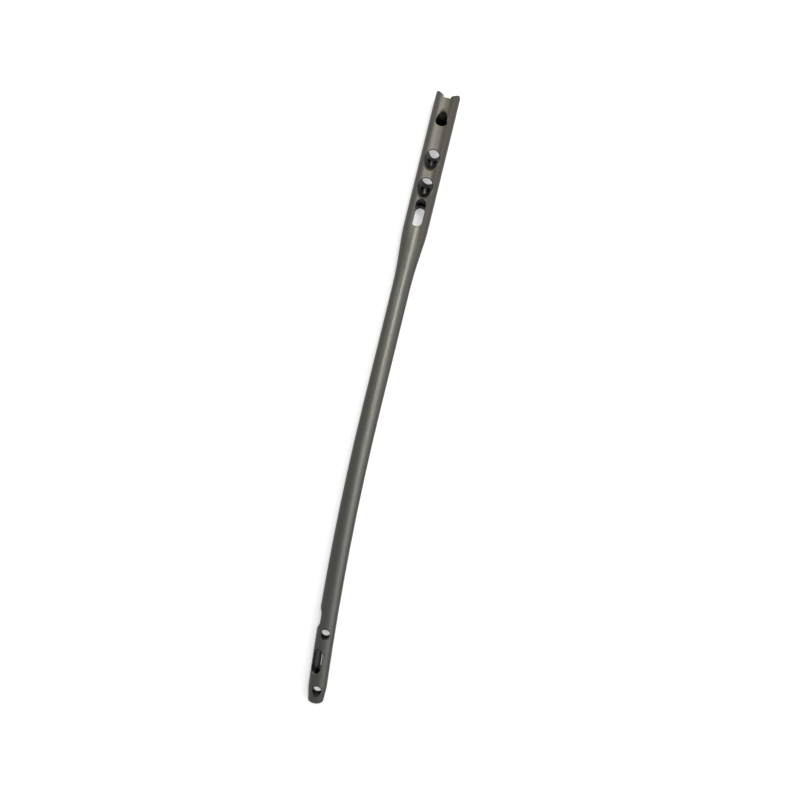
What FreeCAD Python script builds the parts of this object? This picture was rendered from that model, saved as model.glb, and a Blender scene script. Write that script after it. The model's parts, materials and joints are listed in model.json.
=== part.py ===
import FreeCAD, Part
import math
import os

# A cannulated femoral nail: one piece, turned, drilled, slotted and bent from one bar.
# It is drawn along its own axis: the end that takes the insertion handle is at y = 0,
# the nail runs towards -Y, its bow bulges towards -X and its side holes face +Z.
# Distances along the nail are measured on its centreline from the handle end.

# Body
nail_length = 320.0
head_diameter = 13.0
shaft_diameter = 9.4
neck_start = 74.8
neck_angle = 4.7
neck_blend_head = 110.0
neck_blend_shaft = 170.0
bow_start = 168.5
bow_radius = 1443.0
tip_length = 11.0
tip_taper_length = 8.0
tip_angle = 6.5
tip_blend = 25.0
tip_round = 1.5

# Bore through the whole nail, with a threaded socket for the handle's bolt or an end cap
cannula_diameter = 5.0
thread_diameter = 8.0
thread_start = 5.5
thread_end = 18.0
thread_runout = 1.2
seat_clearance = 0.3
seat_lead = 0.5

# Handle end: two lugs with flared flanks, and a slot between them across the bore
crest_chamfer = 0.3
lug_land = 0.15
lug_flank_angle = 40.0
notch_width = 3.7
notch_depth = 4.65
notch_corner = 0.5

# Oblique bores of the head, placed where their axes cross the nail's axis
antegrade_position = 22.05
antegrade_angle = 43.0
antegrade_diameter = 5.5
recon_position = 31.25
recon_spacing = 15.0
recon_angle = 44.0
recon_diameter = 7.1
oblique_chamfer = 0.65

# Long slot of the head
head_slot_position = 65.75
head_slot_length = 14.2
head_slot_width = 5.3

# Locking holes and slot at the far end, measured back from the tip
tip_hole_from_tip = 6.5
tip_hole_spacing = 28.6
tip_hole_diameter = 4.9
tip_slot_from_tip = 21.25
tip_slot_length = 12.2
tip_slot_width = 5.2
tip_slot_azimuth = -28.0
countersink = 0.8
slot_chamfer = 0.5

# Flat on the bulging side, which the drill guide's stop rests on
flat_from_tip = 42.5
flat_length = 6.0
flat_depth = 1.2
flat_ramp_angle = 27.0
flat_ramp_round = 4.0

overrun = 1.0
up = FreeCAD.Vector(0, 0, 1)
along = FreeCAD.Vector(0, 1, 0)
across = FreeCAD.Vector(1, 0, 0)
head_radius = head_diameter / 2
shaft_radius = shaft_diameter / 2
cannula_radius = cannula_diameter / 2
bow_length = nail_length - bow_start - tip_length
bow_centre = FreeCAD.Vector(bow_radius, -bow_start, 0)


def bow_turn(distance):
    """Angle in degrees that the centreline has turned at a distance from the handle end."""
    return math.degrees(min(max(distance - bow_start, 0), bow_length) / bow_radius)


def nail_frame(distance, azimuth=0.0):
    """Frame on the centreline: Y back to the handle end, Z out at the azimuth (0 is the side holes' way)."""
    turn = bow_turn(distance)
    heading = FreeCAD.Rotation(up, turn)
    bow_point = bow_centre + heading.multVec(across * -bow_radius)
    straight = distance - math.radians(turn) * bow_radius - bow_start
    place = bow_point - heading.multVec(along * straight)
    return FreeCAD.Placement(place, heading * FreeCAD.Rotation(along, azimuth))


def outline(corners):
    """Closed wire in the XY plane through (x, y, radius) corners, rounded where the radius isn't zero."""
    points = [FreeCAD.Vector(x, y, 0) for x, y, radius in corners]
    starts, ends, arcs = [], [], []
    for i, (x, y, radius) in enumerate(corners):
        back = (points[i - 1] - points[i]).normalize()
        ahead = (points[(i + 1) % len(points)] - points[i]).normalize()
        half = back.getAngle(ahead) / 2
        reach = radius / math.tan(half)
        starts.append(points[i] + back * reach)
        ends.append(points[i] + ahead * reach)
        middle = points[i] + (back + ahead).normalize() * (radius / math.sin(half) - radius)
        arcs.append(Part.Arc(starts[i], middle, ends[i]).toShape() if radius else None)
    edges = []
    for i in range(len(corners)):
        edges.append(Part.makeLine(ends[i - 1], starts[i]))
        if arcs[i]:
            edges.append(arcs[i])
    return Part.Wire(edges)


def turned(corners):
    """Solid of revolution about Y from corners given as (radius, y, rounding)."""
    return Part.Face(outline(corners)).revolve(FreeCAD.Vector(), along, 360)


def extruded(wire, half_height):
    """Prism that runs half_height to both sides of the XY plane."""
    face = Part.Face(wire)
    face.translate(up * -half_height)
    return face.extrude(up * 2 * half_height)


def bent_rod(radius):
    """Round rod along the bow, from the bow's start to where the tip begins."""
    disc = Part.Face(Part.Wire(Part.makeCircle(radius, FreeCAD.Vector(0, -bow_start, 0), along)))
    return disc.revolve(bow_centre, up, math.degrees(bow_length / bow_radius))


# Outside of the nail: head, neck and straight shaft in one turning, then the bow and the tip

def make_blank():
    neck_end = neck_start + (head_radius - shaft_radius) / math.tan(math.radians(neck_angle))
    straight = turned([
        (0, 0, 0),
        (head_radius - crest_chamfer, 0, 0),
        (head_radius, -crest_chamfer, 0),
        (head_radius, -neck_start, neck_blend_head),
        (shaft_radius, -neck_end, neck_blend_shaft),
        (shaft_radius, -bow_start, 0),
        (0, -bow_start, 0),
    ])
    tip_end_radius = shaft_radius - tip_taper_length * math.tan(math.radians(tip_angle))
    tip = turned([
        (0, 0, 0),
        (shaft_radius, 0, 0),
        (shaft_radius, tip_taper_length - tip_length, tip_blend),
        (tip_end_radius, -tip_length, tip_round),
        (0, -tip_length, 0),
    ])
    tip.Placement = nail_frame(nail_length - tip_length)
    return straight.fuse([bent_rod(shaft_radius), tip]).removeSplitter()


# Bore: a smooth seat and a thread at the handle end, then the guide wire's bore to the tip

def make_bore():
    thread_radius = thread_diameter / 2
    seat_radius = thread_radius + seat_clearance
    socket = turned([
        (0, overrun, 0),
        (seat_radius + seat_lead + overrun, overrun, 0),
        (seat_radius, -seat_lead, 0),
        (seat_radius, -thread_start, 0),
        (thread_radius, -thread_start - seat_clearance, 0),
        (thread_radius, -thread_end, 0),
        (cannula_radius, -thread_end - thread_runout, 0),
        (cannula_radius, -bow_start, 0),
        (0, -bow_start, 0),
    ])
    outlet = Part.makeCylinder(cannula_radius, tip_length + overrun, FreeCAD.Vector(), -along)
    outlet.Placement = nail_frame(nail_length - tip_length).multiply(outlet.Placement)
    return socket.fuse([bent_rod(cannula_radius), outlet])


# Handle end: the slot between the lugs and the flanks that lead into it

def make_notch():
    half_slot = notch_width / 2
    half_flare = head_radius - crest_chamfer - lug_land
    flank_foot = (half_flare - half_slot) * math.tan(math.radians(lug_flank_angle))
    right = [
        (half_slot, -notch_depth, notch_corner),
        (half_slot, -flank_foot, 0),
        (half_flare, 0, 0),
        (half_flare, overrun, 0),
    ]
    left = [(-x, y, radius) for x, y, radius in reversed(right)]
    return extruded(outline(right + left), head_radius + overrun)


# Oblique bores: the screw leans back to the handle end or away from it, and the rims are broken

def make_oblique_bore(position, lean, diameter):
    reach = 2 * head_radius
    rod = Part.makeCylinder(head_radius, 4 * reach, along * 2 * reach, -along)
    drill = Part.makeCylinder(diameter / 2, 4 * reach, up * -2 * reach, up)
    drill.rotate(FreeCAD.Vector(), across, lean)
    drilled = rod.cut(drill)
    rims = [edge for edge in drilled.Edges if isinstance(edge.Curve, Part.BSplineCurve)]
    bore = rod.cut(drilled.makeChamfer(oblique_chamfer, rims))
    bore.Placement = nail_frame(position)
    return bore


# Straight holes and slots, which open on both sides of the nail

def make_cross_hole(position, radius_there, diameter):
    hole = Part.makeCylinder(diameter / 2, 2 * (radius_there + overrun), up * -(radius_there + overrun), up)
    floor = radius_there - countersink
    rim = diameter / 2 + countersink + overrun
    mouth = Part.makeCone(diameter / 2, rim, countersink + overrun, up * floor, up)
    far_mouth = Part.makeCone(diameter / 2, rim, countersink + overrun, up * -floor, -up)
    hole = hole.fuse([mouth, far_mouth])
    hole.Placement = nail_frame(position)
    return hole


def stadium(length, width, height):
    """Wire of a round-ended slot along Y at a height."""
    side = width / 2
    straight = (length - width) / 2
    right = Part.makeLine(FreeCAD.Vector(side, -straight, height), FreeCAD.Vector(side, straight, height))
    left = Part.makeLine(FreeCAD.Vector(-side, straight, height), FreeCAD.Vector(-side, -straight, height))
    top = Part.Arc(right.lastVertex().Point, FreeCAD.Vector(0, straight + side, height), left.firstVertex().Point)
    foot = Part.Arc(left.lastVertex().Point, FreeCAD.Vector(0, -straight - side, height), right.firstVertex().Point)
    return Part.Wire([right, top.toShape(), left, foot.toShape()])


def make_cross_slot(position, radius_there, length, width, azimuth):
    slot = extruded(stadium(length, width, 0), radius_there + overrun)
    floor = radius_there - slot_chamfer
    rise = slot_chamfer + overrun
    mouths = [
        Part.makeLoft([stadium(length, width, side * floor),
                       stadium(length + 2 * rise, width + 2 * rise, side * (floor + rise))], True, True)
        for side in (1, -1)
    ]
    slot = slot.fuse(mouths)
    slot.Placement = nail_frame(position, azimuth)
    return slot


# Flat on the bulging side: a shallow floor with a ramp at each end

def make_flat():
    floor = shaft_radius - flat_depth
    half_floor = flat_length / 2
    run = (flat_depth + overrun) / math.tan(math.radians(flat_ramp_angle))
    cutter = extruded(outline([
        (-floor, half_floor, flat_ramp_round),
        (-floor, -half_floor, flat_ramp_round),
        (-shaft_radius - overrun, -half_floor - run, 0),
        (-shaft_radius - overrun, half_floor + run, 0),
    ]), shaft_radius + overrun)
    cutter.Placement = nail_frame(nail_length - flat_from_tip)
    return cutter


def make_nail():
    nail = make_blank()
    cutters = [
        make_bore(),
        make_notch(),
        make_oblique_bore(antegrade_position, antegrade_angle - 90, antegrade_diameter),
        make_oblique_bore(recon_position, 90 - recon_angle, recon_diameter),
        make_oblique_bore(recon_position + recon_spacing, 90 - recon_angle, recon_diameter),
        make_cross_slot(head_slot_position, head_radius, head_slot_length, head_slot_width, 0),
        make_cross_hole(nail_length - tip_hole_from_tip, shaft_radius, tip_hole_diameter),
        make_cross_hole(nail_length - tip_hole_from_tip - tip_hole_spacing, shaft_radius, tip_hole_diameter),
        make_cross_slot(nail_length - tip_slot_from_tip, shaft_radius, tip_slot_length, tip_slot_width,
                        tip_slot_azimuth),
        make_flat(),
    ]
    for cutter in cutters:
        nail = nail.cut(cutter)
    return nail.Solids[0]


# Rest: the nail lies on the head's last full section and on its bow, rolled towards the bulge
# until its weight is over the line between the two.

def rest_placement(nail):
    weight = nail.CenterOfMass
    head_foot = neck_start - neck_blend_head * math.tan(math.radians(neck_angle) / 2)
    slope = weight.x / (-weight.y - head_foot)
    lean = math.atan(slope)
    bow_turn_at_foot = lean + math.acos((1 - slope * (bow_start - head_foot) / bow_radius) * math.cos(lean))
    foot_x = bow_radius * (1 - math.cos(bow_turn_at_foot))
    foot_y = -bow_start - bow_radius * math.sin(bow_turn_at_foot)
    pitch = math.tan(bow_turn_at_foot)
    roll = (head_radius - shaft_radius) / (-foot_x - pitch * (head_foot + foot_y))
    table_up = FreeCAD.Vector(roll, roll * pitch, math.sqrt(1 - roll ** 2 * (1 + pitch ** 2)))
    sideways = along.cross(table_up).normalize()
    lie = FreeCAD.Rotation(sideways, table_up.cross(sideways), table_up).inverted()
    rest = FreeCAD.Placement(FreeCAD.Vector(), lie)
    laid = nail.copy()
    laid.Placement = rest
    box = laid.optimalBoundingBox(False)
    rest.Base = FreeCAD.Vector(-box.Center.x, -box.Center.y, -box.ZMin)
    return rest


nail_body = make_nail()
rest = rest_placement(nail_body)
nail_body.Placement = rest
os.makedirs("parts", exist_ok=True)
nail_body.exportStep("parts/nail_body.step")
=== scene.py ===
import json
import math

import bpy
import numpy as np
from mathutils import Matrix, Vector


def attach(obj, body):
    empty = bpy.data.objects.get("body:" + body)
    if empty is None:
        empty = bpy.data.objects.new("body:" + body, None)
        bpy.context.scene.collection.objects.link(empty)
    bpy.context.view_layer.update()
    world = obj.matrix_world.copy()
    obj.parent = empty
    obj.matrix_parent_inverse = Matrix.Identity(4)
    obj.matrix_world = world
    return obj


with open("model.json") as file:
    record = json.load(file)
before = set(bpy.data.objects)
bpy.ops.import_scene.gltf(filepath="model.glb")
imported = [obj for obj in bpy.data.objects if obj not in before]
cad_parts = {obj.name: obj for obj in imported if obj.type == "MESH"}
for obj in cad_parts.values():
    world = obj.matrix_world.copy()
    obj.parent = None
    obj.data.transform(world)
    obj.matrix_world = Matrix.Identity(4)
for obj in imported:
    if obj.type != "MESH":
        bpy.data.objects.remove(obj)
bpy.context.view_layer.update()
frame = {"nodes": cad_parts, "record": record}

mounts = {mount["name"]: mount for mount in frame["record"]["mounts"]}


# The nail: one bar of titanium alloy, turned, drilled for the guide wire, cross drilled, slotted and bent.
# It is blasted to an even satin and anodised dark grey, a warm one at the head that turns olive towards the
# tip. The holes' walls are painted nearly black, a painted shade of their depths, and the reamed wire bore
# stays brighter.

class Signal:
    """One value in a finish. Arithmetic on it adds the Math nodes that work it out."""

    def __init__(self, finish, socket):
        self.finish = finish
        self.socket = socket

    def math(self, operation, *values):
        return self.finish.node("Math", {"operation": operation}, dict(enumerate(values)))

    def __add__(self, other):
        return self.math("ADD", self, other)

    def __sub__(self, other):
        return self.math("SUBTRACT", self, other)

    def __rsub__(self, other):
        return self.math("SUBTRACT", other, self)

    def __mul__(self, other):
        return self.math("MULTIPLY", self, other)

    def __truediv__(self, other):
        return self.math("DIVIDE", self, other)

    __radd__ = __add__
    __rmul__ = __mul__

    def over(self, floor):
        return self.math("MAXIMUM", self, floor)

    def root(self):
        return self.math("SQRT", self)

    def rise(self, low, high):
        """0 below low, 1 above high, and an even S between."""
        smooth = {"interpolation_type": "SMOOTHSTEP"}
        return self.finish.node("MapRange", smooth, {0: self, 1: low, 2: high})


class Finish:
    """A node tree of a material or of the world, and the one way that its nodes are made."""

    def __init__(self, owner):
        owner.use_nodes = True
        self.tree = owner.node_tree
        self.tree.nodes.clear()

    def node(self, kind, settings, sockets, output=0):
        made = self.tree.nodes.new("ShaderNode" + kind)
        for name, value in settings.items():
            setattr(made, name, value)
        for name, value in sockets.items():
            if isinstance(value, Signal):
                self.tree.links.new(value.socket, made.inputs[name])
            else:
                made.inputs[name].default_value = value
        return Signal(self, made.outputs[output] if made.outputs else None)

    def mix(self, amount, low, high):
        """Colour that runs from low to high with amount."""
        return self.node("Mix", {"data_type": "RGBA"}, {0: amount, 6: low, 7: high}, output=2)

    def noise(self, vector, scale, detail, roughness):
        sockets = {"Vector": vector, "Scale": scale, "Detail": detail, "Roughness": roughness}
        return self.node("TexNoise", {}, sockets, output="Fac")

    def stretched(self, vector, factors):
        return self.node("VectorMath", {"operation": "MULTIPLY"}, {0: vector, 1: factors})


# The centreline, the radii and the places along the nail are those of its source.
head_axis = Vector(mounts["cannulation"]["axis"])
head_point = Vector(mounts["cannulation"]["pos_m"])
roll_x, _, roll_z = mounts["head_slot"]["axis"]
bow_start_y = -0.0084
bow_radius = 1.443
head_radius = 0.0065
shaft_radius = 0.0047
neck_zone = (0.074, 0.076)
handle_end_zone = (0.1535, 0.1545)
tip_end_y = -0.1585
tip_end_run = 0.0005
skin_zone = (-0.0005, -0.0004)
least_reach = 0.000001

looks_outward = (0.85, 0.95)
looks_half_outward = (0.35, 0.6)
looks_past_inward = (-0.25, -0.05)
looks_to_handle = (0.4, 0.6)


def zones(finish, place, facing):
    """Two masks: 1 on the outside and on the broken rims of the holes, and 1 in the wire's bore.

    Outward is how far a face looks straight away from the centreline: 1 on the outside, 0 on a hole's wall
    and -1 in the bore. The centreline is a line along head and neck. Past the bow's start it leaves that line
    by the square of the distance over twice the bow's radius, in the plane that the nail's roll gives. A rim
    looks half outward and lies within the skin, a small depth below the nail's own radius. At the two ends,
    all that looks to the handle or doesn't look inward is outside: the end faces and the lugs' flanks.
    """
    x, y, z = [finish.node("SeparateXYZ", {}, {0: place}, output=axis) for axis in range(3)]
    normals = [finish.node("SeparateXYZ", {}, {0: facing}, output=axis) for axis in range(3)]
    normal_x, normal_y, normal_z = normals
    past_bow_start = (bow_start_y - y).over(0)
    sag = past_bow_start * past_bow_start / (2 * bow_radius)
    out_x = x - head_point.x - sag * roll_z
    out_z = z - (head_point.z + (y - head_point.y) * (head_axis.z / head_axis.y)) + sag * roll_x
    reach = (out_x * out_x + out_z * out_z).root()
    outward = (out_x * normal_x + out_z * normal_z) / reach.over(least_reach)
    radius = shaft_radius + y.rise(*neck_zone) * (head_radius - shaft_radius)
    rim = outward.rise(*looks_half_outward) * (reach - radius).rise(*skin_zone)
    near_end = y.rise(*handle_end_zone).over((tip_end_y - y).rise(0, tip_end_run))
    end = near_end * outward.rise(*looks_past_inward).over(normal_y.rise(*looks_to_handle))
    outside = outward.rise(*looks_outward).over(rim).over(end)
    bore = (0 - outward).rise(*looks_outward)
    return outside, bore


warm_grey = (0.0680, 0.0630, 0.0550, 1)
olive_grey = (0.0615, 0.0625, 0.0565, 1)
# The holes' walls get a nearly black colour: painted shade of the holes' depths, not the metal's own tone.
painted_hole_shade = (0.0150, 0.0143, 0.0118, 1)
bore_grey = (0.060, 0.057, 0.051, 1)
grazing_tint = (0.75, 0.75, 0.75, 1)
warm_to_olive = (0.21, 0.51)
olive_per_metre = 2


def anodised_titanium(name):
    """Satin dark grey titanium: fine blast grain, faint lengthwise polishing marks and slow drifts of tone.

    The tone goes from warm to olive with the distance past the head and with the drift. The roughness and the
    relief are sums of the marks, each with its share, and the holes' walls have turning marks in place of
    polishing marks.
    """
    material = bpy.data.materials.new(name)
    finish = Finish(material)
    place = finish.node("TexCoord", {}, {}, output="Object")
    facing = finish.node("NewGeometry", {}, {}, output="Normal")
    outside, bore = zones(finish, place, facing)
    along = finish.node("SeparateXYZ", {}, {0: place}, output=1)

    drift = finish.noise(finish.stretched(place, (1, 0.35, 1)), scale=60, detail=3, roughness=0.5)
    drawn = finish.noise(finish.stretched(place, (1, 0.03, 1)), scale=3200, detail=2, roughness=0.6)
    grain = finish.noise(place, scale=5200, detail=3, roughness=0.65)
    turned = finish.noise(finish.stretched(place, (0.05, 1, 0.05)), scale=5200, detail=1, roughness=0.5)

    tone = (drift * 0.6 + (head_point.y - along) * olive_per_metre).rise(*warm_to_olive)
    outside_colour = finish.mix(tone, warm_grey, olive_grey)
    # Cut faces take the painted shade of the holes' walls, and the wire bore keeps its own grey.
    painted_hole_shade_and_bore_colour = finish.mix(bore, painted_hole_shade, bore_grey)
    colour = finish.mix(outside, painted_hole_shade_and_bore_colour, outside_colour)

    rough = 0.31 + outside * 0.03 + drawn * 0.05 + grain * 0.06
    relief = grain * 0.6 + drawn * 0.4 * outside + turned * 0.5 * (1 - outside)
    surface = finish.node("Bump", {}, {"Strength": 0.12, "Distance": 0.00006, "Height": relief})
    shader = finish.node("BsdfPrincipled", {}, {"Base Color": colour, "Metallic": 1.0, "Roughness": rough,
                                                "Specular Tint": grazing_tint, "Normal": surface})
    finish.node("OutputMaterial", {}, {"Surface": shader})
    return material


nail = frame["nodes"]["nail_body"]
nail.material_slots[0].material = anodised_titanium("anodised_titanium")


# The thread of the socket: a coarse 60 degree thread for the bolt of the insertion handle, and later for an
# end cap. It is tapped between the lugs and the first oblique bore, which cuts away part of its last turns.

socket = mounts["handle_socket"]
mm_per_metre = 1000
full_turn = 2 * np.pi
thread_pitch = 0.00125
thread_depth = 0.00066
thread_crest = 0.00016
thread_foot = 0.00052
thread_seat = 0.00003
thread_turn_steps = 96
drill_sides = 96
drill_length = 0.03


def standing_on(mount):
    """Matrix that takes Z to the mount's axis and the origin to its point."""
    turn = Vector((0, 0, 1)).rotation_difference(Vector(mount["axis"]))
    return Matrix.Translation(Vector(mount["pos_m"])) @ turn.to_matrix().to_4x4()


def thread_ridge(name):
    """Closed ridge with a trapezoid section, carried along a helix on the socket's wall.

    The angle runs along the grid's rows and the section's corners along its columns. The ridge grows out of
    the wall over its first turn and sinks back over its last half turn. Its crest is the thread's depth
    inside the wall, and its foot is seated a little way into the metal.
    """
    root_radius = socket["dims"]["r_mm"] / mm_per_metre
    length = socket["dims"]["length_mm"] / mm_per_metre - 2 * thread_foot
    turns = length / thread_pitch
    steps = int(turns * thread_turn_steps)
    angle = np.linspace(0, turns * full_turn, steps)[:, None]
    grown = np.minimum(angle / full_turn, 1) * np.minimum((turns * full_turn - angle) / np.pi, 1)
    section_depth = np.array([0, 1, 1, 0])
    section_width = np.array([-thread_foot, -thread_crest, thread_crest, thread_foot])
    radius = root_radius + thread_seat - section_depth * (thread_depth + thread_seat) * grown
    along = angle * thread_pitch / full_turn - length / 2 + section_width
    points = np.stack([radius * np.cos(angle), radius * np.sin(angle), along], axis=-1).reshape(-1, 3)

    corners = len(section_depth)
    row, column = np.meshgrid(np.arange(steps - 1), np.arange(corners), indexing="ij")
    here = row * corners
    ahead = here + corners
    beside = (column + 1) % corners
    sides = np.stack([here + column, here + beside, ahead + beside, ahead + column], axis=-1)
    first_cap = np.arange(corners)[::-1]
    last_cap = np.arange(corners) + (steps - 1) * corners
    faces = np.concatenate([sides.reshape(-1, corners), [first_cap, last_cap]])
    mesh = bpy.data.meshes.new(name)
    mesh.from_pydata(points.tolist(), [], faces.tolist())
    mesh.transform(standing_on(socket))
    return mesh


def drill(name, mount, length):
    """Round rod along a mount's axis, for cutting: two rings of points, a wall between them and two caps."""
    angle = np.linspace(0, full_turn, drill_sides, endpoint=False)
    radius = mount["dims"]["r_mm"] / mm_per_metre
    rim = np.stack([radius * np.cos(angle), radius * np.sin(angle)], axis=-1)
    ends = [np.column_stack([rim, np.full(drill_sides, z)]) for z in (-length / 2, length / 2)]
    here = np.arange(drill_sides)
    beside = (here + 1) % drill_sides
    faces = np.stack([here, beside, beside + drill_sides, here + drill_sides], axis=-1).tolist()
    faces += [here[::-1].tolist(), (here + drill_sides).tolist()]
    mesh = bpy.data.meshes.new(name)
    mesh.from_pydata(np.concatenate(ends).tolist(), [], faces)
    mesh.transform(standing_on(mount))
    return bpy.data.objects.new(name, mesh)


thread = bpy.data.objects.new("socket_thread", thread_ridge("socket_thread"))
drill_bit = drill("drill_bit", mounts["antegrade_screw_bore"], drill_length)
for piece in (thread, drill_bit):
    bpy.context.scene.collection.objects.link(piece)
cut = thread.modifiers.new("cut", "BOOLEAN")
cut.object = drill_bit
cut.solver = "EXACT"
evaluated = thread.evaluated_get(bpy.context.evaluated_depsgraph_get())
cut_mesh = bpy.data.meshes.new_from_object(evaluated)
thread.modifiers.clear()
thread.data = cut_mesh
bpy.data.objects.remove(drill_bit)
thread.data.materials.clear()
thread.data.materials.append(nail.material_slots[0].material)
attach(thread, "root")


# The studio: a plain white table, soft lamps overhead and at the sides, and a camera almost straight above.
# The table's own glow fills its shade for what looks at it, so it reads as white paper with a faint shadow.

white = (1, 1, 1, 1)
paper_grey = (0.5, 0.5, 0.5, 1)
glow_near_nail = (0.42, 0.42, 0.42, 1)
glow_zone = (0.25, 0.9)
table_half = 3.0
table_drop = 0.0002


def seen(finish):
    """1 for rays that show the background: those of the camera, of gloss and of glass."""
    rays = [finish.node("LightPath", {}, {}, output=name)
            for name in ("Is Camera Ray", "Is Glossy Ray", "Is Transmission Ray")]
    return rays[0].over(rays[1]).over(rays[2])


def white_table():
    """Matt white paper. Its glow is low round the nail, where the lamps light it, and full further out."""
    material = bpy.data.materials.new("white_table")
    finish = Finish(material)
    place = finish.node("TexCoord", {}, {}, output="Object")
    distance = finish.node("VectorMath", {"operation": "LENGTH"}, {0: place}, output="Value")
    glow_colour = finish.mix(distance.rise(*glow_zone), glow_near_nail, white)
    paper = finish.node("BsdfDiffuse", {}, {"Color": paper_grey})
    glow = finish.node("Emission", {}, {"Color": glow_colour, "Strength": seen(finish)})
    both = finish.node("AddShader", {}, {0: paper, 1: glow})
    finish.node("OutputMaterial", {}, {"Surface": both})
    return material


table_corners = [(x * table_half, y * table_half, -table_drop)
                 for x, y in ((-1, -1), (1, -1), (1, 1), (-1, 1))]
table_mesh = bpy.data.meshes.new("table")
table_mesh.from_pydata(table_corners, [], [(0, 1, 2, 3)])
table_mesh.materials.append(white_table())
table = bpy.data.objects.new("table", table_mesh)
bpy.context.scene.collection.objects.link(table)

room_level = 0.25
world = bpy.data.worlds.new("room")
bpy.context.scene.world = world
room = Finish(world)
room_strength = room_level + seen(room) * (1 - room_level)
backdrop = room.node("Background", {}, {"Color": white, "Strength": room_strength})
room.node("OutputWorld", {}, {"Surface": backdrop})

lamp_distance = 0.8


def softbox(name, lean, along, size, watts):
    """Rectangular lamp that faces the nail's middle.

    It leans from straight up to the right by an angle in degrees, at the lamp distance, and stands a way
    along the nail towards the head. The first of its sizes runs along the nail, and the second is the height
    of a lamp at the side.
    """
    light = bpy.data.lights.new(name, "AREA")
    light.shape = "RECTANGLE"
    light.size, light.size_y = size
    light.energy = watts
    lean = math.radians(lean)
    place = Vector((lamp_distance * math.sin(lean), along, lamp_distance * math.cos(lean)))
    lamp = bpy.data.objects.new(name, light)
    lamp.location = place
    lamp.rotation_euler = (-place).to_track_quat("-Z", "Y").to_euler()
    bpy.context.scene.collection.objects.link(lamp)


softbox("neck_lamp", -3, 0.24, (0.18, 0.18), 4.0)
softbox("shaft_lamp", 22, 0.0, (0.3, 0.3), 2.35)
softbox("tip_lamp", 46, -0.18, (0.35, 0.35), 1.4)
softbox("head_lamp", -34, 0.5, (0.4, 0.4), 2.4)
softbox("left_wall", -60, 0.6, (0.5, 0.5), 3.6)
softbox("right_wall", 68, 0.15, (1.2, 0.3), 1.6)

# The camera's place, turn and lens fit the nail's outline and what shows through its cross holes.
camera_place = Vector((-0.05647, -0.03332, 0.32429))
camera_aim = Vector((0.01721, -0.02011, 0.0))
picture_up = Vector((-0.23734, 0.97132, -0.01435))
back = (camera_place - camera_aim).normalized()
right = picture_up.cross(back).normalized()
camera = bpy.data.cameras.new("camera")
camera.sensor_width = 36
camera.lens = 28.3
camera.shift_y = 0.05
camera.clip_start = 0.01
viewer = bpy.data.objects.new("camera", camera)
camera_turn = Matrix((right, back.cross(right), back)).transposed().to_4x4()
viewer.matrix_world = Matrix.Translation(camera_place) @ camera_turn
bpy.context.scene.collection.objects.link(viewer)
bpy.context.scene.camera = viewer
bpy.context.scene.view_settings.view_transform = "Standard"
